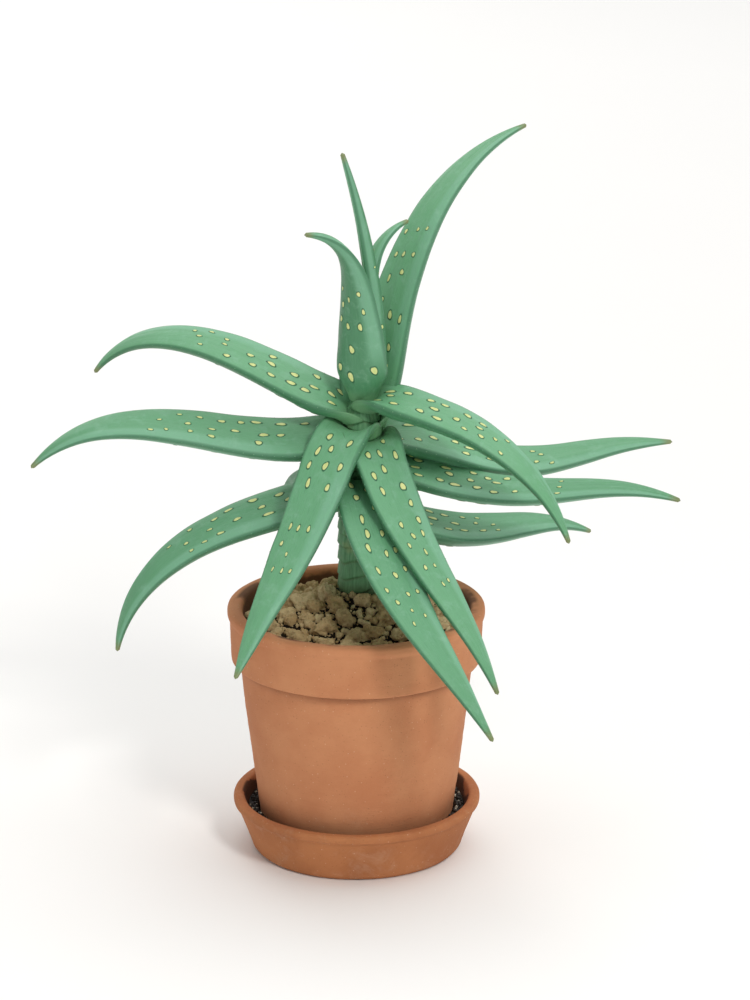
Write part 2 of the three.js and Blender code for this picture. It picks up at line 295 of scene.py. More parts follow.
def leaf_skin():
    """Blue-green waxy skin: faint fibres along the blade, patchy bloom, a dry brown tip, painted shade
    on the underside and a painted highlight band on the half facing the lamps.
    """
    m = Shading("leaf_skin", 0.45)
    along = m.attribute("along")
    across = m.attribute("across")
    travel = m.attribute("travel")
    under = m.attribute("under")
    age = m.attribute("age")
    edge = m.math("ABSOLUTE", across)

    broad = m.noise(m.place(), 22.0, 2.0)
    colour = m.mix(m.span(broad, 0.35, 0.65), linear("#3F805B"), linear("#4C8D69"))
    colour = m.mix(m.span(age, 0.0, 1.0, 0.0, 0.35), linear("#72B083"), colour)
    # painted shade: the underside of each blade darkened towards deep green
    colour = m.mix(m.math("MULTIPLY", under, 0.7), colour, linear("#37754F"))

    fibre_place = m.join(m.math("MULTIPLY", travel, 0.06), m.math("MULTIPLY", across, 9.0), age)
    fibres = m.noise(fibre_place, 3.2, 4.0, 0.6)
    colour = m.mix(m.span(fibres, 0.5, 0.78, 0.0, 0.4), colour, linear("#47855C"))
    thread_place = m.join(m.math("MULTIPLY", travel, 0.05), m.math("MULTIPLY", across, 46.0))
    threads = m.noise(thread_place, 1.0, 2.0)
    colour = m.mix(m.span(threads, 0.55, 0.8, 0.0, 0.28), colour, linear("#93CBA0"))

    # painted highlight: a paler green band on the half of each blade facing the lamps
    side = m.math("ADD", m.math("MULTIPLY", across, m.attribute("lit")), m.math("MULTIPLY", broad, 0.3))
    painted_highlight_band = m.math("MULTIPLY", m.span(side, 0.5, 0.8), m.span(along, 0.12, 0.3))
    colour = m.mix(m.math("MULTIPLY", painted_highlight_band, 0.6), colour, linear("#84BC9B"))

    bloom = m.noise(m.place(), 130.0, 5.0, 0.7, 0.4)
    colour = m.mix(m.span(bloom, 0.48, 0.72, 0.0, 0.2), colour, linear("#A8D2BC"))
    colour = m.mix(m.span(edge, 0.88, 1.0, 0.0, 0.7), colour, linear("#2F6846"))
    colour = m.mix(m.span(along, 0.0, 0.09, 0.55, 0.0), colour, linear("#86B584"))
    colour = m.mix(m.span(along, 0.955, 1.0, 0.0, 0.75), colour, linear("#8E8A57"))

    rough = m.span(bloom, 0.3, 0.75, 0.36, 0.54)
    grain = m.bump(m.noise(m.place(), 1500.0, 2.0), 0.00006, 0.5)
    ribs = m.bump(fibres, 0.0004, 0.55, grain)
    ribs = m.bump(threads, 0.00022, 0.6, ribs)
    return m.finish(
        colour, rough, ribs,
        Subsurface_Weight=0.08, Subsurface_Radius=(0.4, 1.0, 0.35), Subsurface_Scale=0.0015,
        Specular_IOR_Level=0.4,
    )


def spot_skin():
    m = Shading("leaf_spot", 0.5)
    tone = m.noise(m.place(), 420.0, 3.0)
    colour = m.mix(m.span(tone, 0.35, 0.7), linear("#E0E49A"), linear("#CFD98A"))
    return m.finish(colour, None, m.bump(tone, 0.0001, 0.5))


# painted shade: the darker green ring on each spot's flank
def spot_rim_shade_skin():
    m = Shading("leaf_spot_rim_shade", 0.5)
    tone = m.noise(m.place(), 500.0, 2.0)
    return m.finish(m.mix(tone, linear("#2F6444"), linear("#3E7A54")))


def tooth_skin():
    m = Shading("leaf_tooth", 0.45)
    tone = m.noise(m.place(), 300.0, 2.0)
    return m.finish(m.mix(tone, linear("#5C9A70"), linear("#79B183")))


def stem_skin():
    """Green bark with pale fibres, browner at the leaf scars and at the soil."""
    m = Shading("stem_skin", 0.6)
    scar = m.attribute("scar")
    around = m.attribute("around")
    height = m.height()
    fibre_place = m.join(m.math("MULTIPLY", around, 24.0), m.math("MULTIPLY", height, 60.0))
    fibres = m.noise(fibre_place, 1.5, 4.0)
    colour = m.mix(m.span(fibres, 0.35, 0.7), linear("#4C8459"), linear("#6FA677"))
    patches = m.noise(m.place(), 90.0, 4.0)
    colour = m.mix(m.span(patches, 0.55, 0.75, 0.0, 0.5), colour, linear("#8FA36C"))
    colour = m.mix(m.math("MULTIPLY", scar, 0.4), colour, linear("#5F6B42"))
    low, high = (SOIL_CROWN_TOP - 5) * MM, (SOIL_CROWN_TOP + 7) * MM
    colour = m.mix(m.span(height, low, high, 0.45, 0.0), colour, linear("#6E6A45"))
    rough = m.span(fibres, 0.3, 0.7, 0.5, 0.72)
    return m.finish(colour, rough, m.bump(fibres, 0.0005, 0.7, m.bump(patches, 0.0004, 0.5)))


def clay(name, main, dark, pale, inside_shade, inside_shade_low, inside_shade_high):
    """Unglazed clay: fired mottling, fine grit, turning lines, mineral bloom, a painted shadow under the
    band and painted shade on the inside.
    """
    m = Shading(name, 0.86)
    place = m.place()
    height = m.height()
    mottle = m.noise(place, 28.0, 4.0, 0.6)
    colour = m.mix(m.span(mottle, 0.32, 0.7), linear(main), linear(dark))
    cloud = m.noise(place, 9.0, 3.0, 0.6, 0.6)
    colour = m.mix(m.span(cloud, 0.5, 0.75, 0.0, 0.4), colour, linear(pale))
    grit = m.noise(place, 1100.0, 3.0, 0.7)
    colour = m.mix(m.span(grit, 0.56, 0.8, 0.0, 0.35), colour, linear(dark))
    specks = m.cells(place, 420.0)
    colour = m.mix(m.span(specks, 0.06, 0.16, 0.3, 0.0), colour, linear("#6B4228"))
    flecks = m.cells(place, 260.0)
    colour = m.mix(m.span(flecks, 0.05, 0.11, 0.4, 0.0), colour, linear("#E6C7A4"))
    bloom_edge = m.math("ADD", height, m.math("MULTIPLY", m.math("SUBTRACT", mottle, 0.5), 0.03))
    bloom = m.span(m.noise(place, 60.0, 6.0, 0.72, 0.5), 0.5, 0.72)
    low = m.span(bloom_edge, 0.028, 0.05, 0.16, 0.0)
    colour = m.mix(m.math("MULTIPLY", bloom, low), colour, linear("#DCC0A2"))
    # painted shadow: the clay darkened just under the band's overhang
    colour = m.mix(m.math("MULTIPLY", m.attribute("dust"), 0.6), colour, linear("#6F4630"))
    # painted shade: the inner walls darkened up to near the rim, with a ragged top
    inside_shade_share = m.math("MULTIPLY", m.attribute("inside"), m.span(bloom_edge, inside_shade_low, inside_shade_high, 0.85, 0.0))
    colour = m.mix(inside_shade_share, colour, linear(inside_shade))

    turning = m.noise(m.join(0.0, 0.0, height), 900.0, 3.0, 0.6)
    rough = m.span(grit, 0.3, 0.7, 0.78, 0.94)
    normal = m.bump(turning, 0.00035, 0.5)
    normal = m.bump(mottle, 0.0006, 0.4, normal)
    normal = m.bump(grit, 0.00022, 0.7, normal)
    normal = m.bump(m.span(specks, 0.02, 0.16), 0.00025, 0.6, normal)
    return m.finish(colour, rough, normal, Specular_IOR_Level=0.3)


def soil_skin():
    """Dry, crumbly potting soil: every clod of its own tone, and painted shade in the gaps between them.
    """
    m = Shading("soil_skin", 0.95)
    place = m.place()
    raised = m.attribute("raised")
    tone = m.attribute("tone")
    clump = m.noise(place, 160.0, 4.0, 0.65)
    colour = m.mix(tone, linear("#BC9B6C"), linear("#DFC89B"))
    colour = m.mix(m.span(clump, 0.44, 0.68, 0.0, 0.45), colour, linear("#9C7D53"))
    crumb = m.noise(place, 700.0, 4.0, 0.7)
    colour = m.mix(m.span(crumb, 0.52, 0.74, 0.0, 0.5), colour, linear("#E2D2AC"))
    colour = m.mix(m.span(crumb, 0.26, 0.44, 0.75, 0.0), colour, linear("#4F3B24"))
    # painted shade: the bed under the clods is near black, so the gaps read dark
    colour = m.mix(m.math("SUBTRACT", 1.0, raised), colour, linear("#231A10"))
    normal = m.bump(crumb, 0.0014, 0.9, m.bump(clump, 0.002, 0.5))
    return m.finish(colour, None, normal, Specular_IOR_Level=0.15)


def gutter_shade_grit_skin():
    """Nearly black grit, painted shade for the gutter, with a few pale flecks of stone."""
    m = Shading("gutter_shade_grit", 0.55)
    tone = m.attribute("tone")
    crumb = m.noise(m.place(), 900.0, 3.0, 0.7)
    colour = m.mix(m.span(crumb, 0.4, 0.7), linear("#17110C"), linear("#3A2C1F"))
    colour = m.mix(m.span(tone, 0.86, 0.9), colour, linear("#B9AE9A"))
    return m.finish(colour, None, m.bump(crumb, 0.0006, 0.7))


def root_skin():
    m = Shading("root_skin", 0.8)
    tone = m.noise(m.place(), 200.0, 4.0)
    colour = m.mix(tone, linear("#CDB98A"), linear("#A98F5C"))
    return m.finish(colour, None, m.bump(tone, 0.0004, 0.6))


def floor_skin():
    m = Shading("pale_floor", 0.7)
    tone = m.noise(m.place(), 3.0, 2.0)
    colour = m.mix(tone, linear("#F8F7F5"), linear("#FAF9F7"))
    return m.finish(colour, Specular_IOR_Level=0.2)


# ---- Meshes ----


def lattice(points, seed):
    """Smooth noise from -1 to 1 at each point of an (..., 3) array."""
    cell = np.floor(points).astype(np.int64)
    f = points - cell
    f = f * f * (3 - 2 * f)
    total = np.zeros(points.shape[:-1])
    for corner in range(8):
        step = np.array([corner & 1, corner >> 1 & 1, corner >> 2 & 1])
        x, y, z = np.moveaxis(cell + step, -1, 0)
        h = (x * 374761393 + y * 668265263 + z * 1440662683 + seed * 1274126177) & 0xFFFFFFFF
        h = ((h ^ (h >> 13)) * 1274126177) & 0xFFFFFFFF
        h = (h ^ (h >> 16)) & 0xFFFFFFFF
        weight = np.prod(np.where(step == 1, f, 1 - f), axis=-1)
        total += weight * (h / 0x7FFFFFFF - 1)
    return total


def rough_noise(points, seed, octaves=3):
    total = np.zeros(points.shape[:-1])
    for k in range(octaves):
        total += lattice(points * 2**k, seed + 31 * k) / 2**k
    return total


def smoothstep(x, low, high):
    t = np.clip((x - low) / (high - low), 0, 1)
    return t * t * (3 - 2 * t)


class Skin:
    """Gathers closed shells in millimetres and makes one object of them."""

    def __init__(self):
        self.points = []
        self.faces = []
        self.slots = []
        self.facts = {}
        self.count = 0

    def add(self, points, faces, slots=0, **facts):
        points = np.asarray(points, float).reshape(-1, 3)
        if isinstance(slots, int):
            slots = [slots] * len(faces)
        for group, slot in zip(faces, slots):
            group = np.asarray(group)
            self.faces.append(group + self.count)
            self.slots.append(np.broadcast_to(slot, len(group)))
        for key in set(self.facts) | set(facts):
            rows = self.facts.setdefault(key, [np.zeros(self.count)])
            rows.append(np.broadcast_to(facts.get(key, 0.0), len(points)).astype(float))
        self.points.append(points)
        self.count += len(points)

    def make(self, name, materials):
        corners = np.concatenate([g.ravel() for g in self.faces])
        sizes = np.concatenate([np.full(len(g), g.shape[1]) for g in self.faces])
        mesh = bpy.data.meshes.new(name)
        mesh.vertices.add(self.count)
        mesh.vertices.foreach_set("co", (np.concatenate(self.points) * MM).ravel())
        mesh.loops.add(len(corners))
        mesh.loops.foreach_set("vertex_index", corners)
        mesh.polygons.add(len(sizes))
        mesh.polygons.foreach_set("loop_start", np.cumsum(sizes) - sizes)
        mesh.polygons.foreach_set("material_index", np.concatenate(self.slots))
        mesh.polygons.foreach_set("use_smooth", np.full(len(sizes), True))
        for key, rows in self.facts.items():
            layer = mesh.attributes.new(key, "FLOAT", "POINT")
            layer.data.foreach_set("value", np.concatenate(rows))
        for material in materials:
            mesh.materials.append(material)
        mesh.update()
        mesh.validate()
        made = bpy.data.objects.new(name, mesh)
        bpy.context.collection.objects.link(made)
        return made


def loft(rings, start, end):
    """Points and faces of a closed skin over an (n, m, 3) array of rings."""
    n, m = rings.shape[:2]
    i, j = np.meshgrid(np.arange(n - 1), np.arange(m), indexing="ij")
    k = (j + 1) % m
    quads = np.stack([i * m + j, i * m + k, (i + 1) * m + k, (i + 1) * m + j], -1).reshape(-1, 4)
    j = np.arange(m)
    k = (j + 1) % m
    first = np.stack([np.full(m, n * m), k, j], -1)
    last = np.stack([np.full(m, n * m + 1), (n - 1) * m + j, (n - 1) * m + k], -1)
    points = np.concatenate([rings.reshape(-1, 3), [start], [end]])
    return points, [quads, np.concatenate([first, last])]


SAME_PLACE = 1e-6  # an outline's points nearer than this are one point


def rounded(corners, step, closed=True):
    """A [radius, height, rounding] outline with its corners curved and its sides divided."""
    corners = [np.array(c[:2] + (c[2] if len(c) > 2 else 0,), float) for c in corners]
    points = []
    for i, corner in enumerate(corners):
        here, bend = corner[:2], corner[2]
        before, after = corners[i - 1][:2], corners[(i + 1) % len(corners)][:2]
        reach_in = min(bend, np.linalg.norm(before - here) / 2)
        reach_out = min(bend, np.linalg.norm(after - here) / 2)
        start = here + (before - here) / np.linalg.norm(before - here) * reach_in
        end = here + (after - here) / np.linalg.norm(after - here) * reach_out
        if bend:
            for t in np.linspace(0, 1, 7):
                points.append((1 - t) ** 2 * start + 2 * t * (1 - t) * here + t * t * end)
        else:
            points.append(here)
    points = [p for i, p in enumerate(points) if np.linalg.norm(p - points[i - 1]) > SAME_PLACE]
    fine = []
    for a, b in zip(points, points[1:] + points[:1] if closed else points[1:]):
        count = max(1, int(np.linalg.norm(b - a) / step))
        fine += [a + (b - a) * t for t in np.arange(count) / count]
    return np.array(fine if closed else fine + points[-1:])


WEAR_SPAN, WEAR_DEPTH = 26, 0.28
TURNING_PITCH, TURNING_DEPTH = 2.4, 0.09


def turned(outline, sides, wear, holed=True):
    """A turned skin with worn surfaces, closed all round its wall or else across the axis."""
    angle = np.linspace(0, 2 * np.pi, sides, endpoint=False)
    r = outline[:, 0][:, None]
    z = np.broadcast_to(outline[:, 1][:, None], (len(outline), sides))
    points = np.stack([r * np.cos(angle), r * np.sin(angle), z], -1)
    flow = rough_noise(points / WEAR_SPAN, wear, 3)
    rings = lattice(np.stack([0 * z, 0 * z, z / TURNING_PITCH], -1), wear + 7)
    r = r + WEAR_DEPTH * flow + TURNING_DEPTH * rings
    points = np.stack([r * np.cos(angle), r * np.sin(angle), z], -1)
    if not holed:
        return loft(points, (0, 0, outline[0, 1]), (0, 0, outline[-1, 1]))
    n = len(outline)
    i, j = np.meshgrid(np.arange(n), np.arange(sides), indexing="ij")
    k = (j + 1) % sides
    down = (i + 1) % n
    quads = np.stack([i * sides + j, i * sides + k, down * sides + k, down * sides + j], -1)
    return points.reshape(-1, 3), [quads.reshape(-1, 4)]


# ---- Pot and saucer ----

CENTRE_RADIUS = 0.6  # where the saucer's outline stops short of its axis, for a fan to close it


def make_pot(material):
    inside = POT_BOTTOM + POT_FLOOR
    band = RIM_TOP - BAND_DEPTH
    outline = rounded(
        [
            (DRAIN_RADIUS, POT_BOTTOM, 1),
            (FOOT_RADIUS, POT_BOTTOM, 2),
            (BODY_TOP_RADIUS, band, 1.2),
            (RIM_LOW_RADIUS, band, 1.8),
            (RIM_RADIUS - LIP_STEP - 0.4, RIM_TOP - LIP_DEPTH - 0.6, 0.8),
            (RIM_RADIUS, RIM_TOP - LIP_DEPTH + 1.5, 1.5),
            (RIM_RADIUS, RIM_TOP, 3),
            (RIM_INNER_RADIUS, RIM_TOP, 3),
            (FOOT_INNER_RADIUS, inside, 3),
            (DRAIN_RADIUS, inside, 1),
        ],
        PROFILE_STEP,
    )
    points, faces = turned(outline, TURNED_SIDES, 11)
    radius = np.hypot(points[:, 0], points[:, 1])
    climb = (points[:, 2] - POT_BOTTOM) / (RIM_TOP - POT_BOTTOM)
    wall = FOOT_RADIUS + (RIM_RADIUS - FOOT_RADIUS) * climb
    skin = Skin()
    # painted shadow: a strip just below the band, strongest at its underside
    below = np.maximum(band - points[:, 2], 0)
    dust = np.exp(-((below / 3.5) ** 2)) * (below > 0)
    skin.add(points, faces, inside=smoothstep(wall - radius, 3.2, 5.0), dust=dust)
    pot = skin.make("clay_pot", [material])
    dress(pot, "pot_clay", "pot")


def make_saucer(material):
    lip_low = SAUCER_HEIGHT - SAUCER_LIP_DEPTH
    outline = rounded(
        [
            (CENTRE_RADIUS, 0),
            (SAUCER_FOOT_RADIUS, 0, 3),
            (SAUCER_UNDER_LIP_RADIUS, lip_low, 1.2),
            (SAUCER_LIP_RADIUS, lip_low + 1, 1.8),
            (SAUCER_LIP_RADIUS - 0.3, SAUCER_HEIGHT, 2.4),
            (SAUCER_INNER_RADIUS, SAUCER_HEIGHT, 2),
            (SAUCER_INNER_FOOT_RADIUS, SAUCER_FLOOR, 2),
            (CENTRE_RADIUS, SAUCER_FLOOR),
        ],
        PROFILE_STEP,
        closed=False,
    )
    points, faces = turned(outline, TURNED_SIDES, 23, holed=False)
    points[:, 2] = np.maximum(points[:, 2], 0)
    radius = np.hypot(points[:, 0], points[:, 1])
    rise = (points[:, 2] - SAUCER_FLOOR) / (SAUCER_HEIGHT - SAUCER_FLOOR)
    inner = SAUCER_INNER_FOOT_RADIUS + (SAUCER_INNER_RADIUS - SAUCER_INNER_FOOT_RADIUS) * rise
    skin = Skin()
    skin.add(points, faces, inside=smoothstep(inner + 1.5 - radius, 0, 1) * (rise > -0.1))
    saucer = skin.make("clay_saucer", [material])
    dress(saucer, "saucer_clay", "saucer")


def dress(piece, slot, *nodes):
    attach(piece, ROOT)
    if nodes:
        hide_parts(*nodes)


# ---- Soil ----

# Smallest and largest radius, how many, how finely divided, and how deep each lump sits.
CLODS = (
    (5.5, 9.0, 60, 4, 0.62),
    (2.6, 4.8, 150, 3, 0.45),
    (1.2, 2.3, 360, 2, 0.25),
    (0.5, 1.0, 700, 1, 0.10),
)
CLOD_TRIES = 12
SOIL_GAP = 0.4
SOIL_SEED = 4
STEM_FOOT_RADIUS = 12.5
BED_TOP = 23
GRIT_SEED = 8
GRIT_COUNT = 520
GRIT_RADII = (0.6, 1.3)


def pot_inner_radius(z):
    low = POT_BOTTOM + POT_FLOOR
    return FOOT_INNER_RADIUS + (RIM_INNER_RADIUS - FOOT_INNER_RADIUS) * (z - low) / (RIM_TOP - low)


SOIL_EDGE = pot_inner_radius(SOIL_EDGE_TOP) - SOIL_GAP


def mound(x, y):
    """The height of the heaped soil, below its clods."""
    radius = np.hypot(x, y)
    share = 1 - np.minimum(radius / SOIL_EDGE, 1)
    domed = ((1 - np.cos(np.pi * share)) / 2 + share) / 2
    place = np.stack([x, y, 0 * x], -1)
    rough = 0.9 * rough_noise(place / 7, 9, 4)
    top = SOIL_EDGE_TOP + (SOIL_CROWN_TOP - SOIL_EDGE_TOP) * domed
    return top + rough - 1.6


def ball(divisions):
    """Points and faces of a unit ball made of even triangles."""
    shape = bmesh.new()
    bmesh.ops.create_icosphere(shape, subdivisions=divisions, radius=1)
    points = np.array([v.co for v in shape.verts])
    faces = np.array([[v.index for v in f.verts] for f in shape.faces])
    shape.free()
    return points, faces


BALLS = {k: ball(k) for k in (1, 2, 3, 4)}


def lump(rng, radius, divisions):
    """A craggy lump about the origin."""
    points, faces = BALLS[divisions]
    shift = rng.uniform(0, 50, 3)
    coarse = lattice(points * 1.5 + shift, 5)
    crags = np.abs(rough_noise(points * 2.6 + shift, 6, 4))
    size = 1.12 + 0.42 * coarse - 0.42 * crags
    squash = rng.uniform(0.6, 1.0, 3)
    spin = np.linalg.qr(rng.normal(size=(3, 3)))[0]
    spin *= np.sign(np.linalg.det(spin))
    return (points * size[:, None] * squash * radius) @ spin, faces


def lay_clods(rng):
    """Where each clod lies: side by side, off the stem and inside the pot."""
    laid = []
    for low, high, count, divisions, depth in CLODS:
        for _ in range(count):
            for _ in range(CLOD_TRIES):
                r = rng.uniform(low, high)
                angle = rng.uniform(0, 2 * np.pi)
                far = (SOIL_EDGE - r - 0.5) * math.sqrt(rng.uniform(0, 1))
                x, y = far * math.cos(angle), far * math.sin(angle)
                off_stem = math.hypot(x - STEM_FOOT[0], y - STEM_FOOT[1]) > STEM_FOOT_RADIUS + 0.7 * r
                large = [(u, v, q) for u, v, q, *_ in laid if q > 0.6 * r]
                apart = all(math.hypot(x - u, y - v) > 0.72 * (r + q) for u, v, q in large)
                if off_stem and apart:
                    laid.append((x, y, r, divisions, depth))
                    break
    return laid


def make_soil(material):
    rng = np.random.default_rng(SOIL_SEED)
    angle = np.linspace(0, 2 * np.pi, SOIL_SIDES, endpoint=False)
    r, a = np.meshgrid(np.linspace(0.01, 1, SOIL_RINGS) * SOIL_EDGE, angle, indexing="ij")
    x, y = r * np.cos(a), r * np.sin(a)
    top = np.stack([x, y, mound(x, y)], -1)
    walls = []
    for z in np.linspace(SOIL_EDGE_TOP - 8, POT_BOTTOM + POT_FLOOR + 0.6, 6):
        far = pot_inner_radius(z) - SOIL_GAP
        walls.append(np.stack([far * np.cos(angle), far * np.sin(angle), 0 * angle + z], -1))
    rings = np.concatenate([top, walls])[::-1]
    points, faces = loft(rings, (0, 0, rings[0, 0, 2]), (0, 0, float(top[0, :, 2].mean())))
    skin = Skin()
    skin.add(points, faces, raised=0.0, tone=0.0)
    for x, y, size, divisions, depth in lay_clods(rng):
        points, faces = lump(rng, size, divisions)
        z = float(mound(np.array(x), np.array(y))) + (0.55 - depth) * size
        points = points + (x, y, z)
        inside = np.minimum(1, (SOIL_EDGE - 0.1) / np.hypot(points[:, 0], points[:, 1]))
        points[:, :2] *= inside[:, None]
        skin.add(points, [faces], raised=1.0, tone=rng.uniform(0, 1))
    soil = skin.make("potting_soil", [material])
    dress(soil, "soil", "soil")


def gutter(z):
    """The pot's outer radius and the saucer's inner radius at a height."""
    rise = (z - SAUCER_FLOOR) / (SAUCER_HEIGHT - SAUCER_FLOOR)
    outer = SAUCER_INNER_FOOT_RADIUS + (SAUCER_INNER_RADIUS - SAUCER_INNER_FOOT_RADIUS) * rise
    climb = (z - POT_BOTTOM) / (RIM_TOP - BAND_DEPTH - POT_BOTTOM)
    inner = FOOT_RADIUS + (BODY_TOP_RADIUS - FOOT_RADIUS) * climb
    return inner, outer


def make_grit(material):
    """Nearly black grit lying in the gutter between the pot and its saucer, painted shade for the
    gutter.
    """
    rng = np.random.default_rng(GRIT_SEED)
    low_in, low_out = gutter(SAUCER_FLOOR + 1)
    top_in, top_out = gutter(BED_TOP)
    outline = [
        (low_in + 0.5, SAUCER_FLOOR + 1),
        (low_out - 0.5, SAUCER_FLOOR + 1),
        (top_out - 0.5, BED_TOP),
        ((top_in + top_out) / 2, BED_TOP - 0.6),
        (top_in + 0.5, BED_TOP),
    ]
    skin = Skin()
    points, faces = turned(rounded(outline, 1.5), BED_SIDES, 31)
    skin.add(points, faces, tone=0.0)
    for _ in range(GRIT_COUNT):
        r = rng.uniform(*GRIT_RADII)
        far = rng.uniform(top_in + 1.1 * r, top_out - 1.1 * r)
        angle = rng.uniform(0, 2 * np.pi)
        points, faces = lump(rng, r, 2)
        z = BED_TOP + rng.uniform(-0.2, 0.6) * r
        points = points + (far * math.cos(angle), far * math.sin(angle), z)
        skin.add(points, [faces], tone=rng.uniform(0, 1))
    dress(skin.make("saucer_grit", [material]), "soil")


# ---- Stem ----


def stem_radius(z):
    heights, radii = np.array(STEM_RADII).T
    return np.interp(z, heights + SOIL_CROWN_TOP, radii)


def stem_centre(z):
    share = (np.asarray(z, float) - STEM_BOTTOM) / (STEM_TOP - STEM_BOTTOM)
    return np.stack([STEM_FOOT[0] + STEM_LEAN * share, STEM_FOOT[1] + 0 * share, z + 0 * share], -1)


SCAR_PITCH = 7.5


def make_stem(material):
    """The bare stem, ringed where old leaves came away."""
    z = np.linspace(STEM_BOTTOM, STEM_TOP, STEM_RINGS)
    angle = np.linspace(0, 2 * np.pi, STEM_SIDES, endpoint=False)
    zz, aa = np.meshgrid(z, angle, indexing="ij")
    around = np.stack([np.cos(aa) * 1.6, np.sin(aa) * 1.6, zz / 30], -1)
    slant = 2.2 * np.sin(aa + zz / 9) + 1.6 * lattice(around, 17)
    phase = ((zz + slant) / SCAR_PITCH) % 1
    ledge = smoothstep(phase, 0, 0.12) * (1 - phase)
    scar = np.exp(-((np.minimum(phase, 1 - phase) / 0.07) ** 2))
    fine = rough_noise(np.stack([np.cos(aa) * 9, np.sin(aa) * 9, zz / 12], -1), 29, 3)
    r = stem_radius(zz) - 0.7 + 1.0 * ledge - 0.45 * scar + 0.3 * fine
    centre = stem_centre(zz)
    rings = centre + np.stack([r * np.cos(aa), r * np.sin(aa), 0 * zz], -1)
    points, faces = loft(rings, stem_centre(STEM_BOTTOM - 0.5), stem_centre(STEM_TOP + 1))
    ends = np.zeros(2)
    skin = Skin()
    skin.add(
        points,
        faces,
        scar=np.concatenate([scar.ravel(), ends]),
        around=np.concatenate([np.sin(aa).ravel(), ends]),
    )
    stem = skin.make("green_stem", [material])
    dress(stem, "stem", "stem")


# ---- Leaves ----

TOWARDS_LAMPS = (0.55, -0.4, 0.75)  # towards the lamps: the half of each blade facing this way gets a painted highlight band
PATH_STEPS = 2000
EDGE_WAVE = 0.025  # share of the half width
FLOW_DEPTH = 0.35
CREASE_DEPTH = 0.22
SPOT_ROWS = (-0.5, 0.0, 0.5)
SPOT_START = 9
SPOT_PITCH = 12
SPOT_REACH = 0.62  # share of the length that bears spots
SPOT_CHANCE = 0.82
SPOT_LENGTH = (2.5, 3.7)
SPOT_WIDTH = (1.4, 1.9)
SPOT_RISE = 0.3
TOOTH_START = 14.0
TOOTH_REACH = 0.93  # share of the length that bears teeth
TOOTH_PITCH = 5.5
TOOTH_HEIGHT = 0.5
TOOTH_SIDES = 6
SPOT_SLOT, SPOT_RIM_SHADE_SLOT, TOOTH_SLOT = 1, 2, 3


def through(values, t):
    """A smooth curve through evenly spaced values, at shares t of the way along them."""
    values = np.asarray(values, float)
    padded = np.concatenate([[2 * values[0] - values[1]], values, [2 * values[-1] - values[-2]]])
    spans = len(values) - 1
    i = np.minimum((t * spans).astype(int), spans - 1)
    x = t * spans - i
    a, b, c, d = (padded[i + k] for k in range(4))
    return b + x * (c - a + x * (2 * a - 5 * b + 4 * c - d + x * (3 * (b - c) + d - a))) / 2


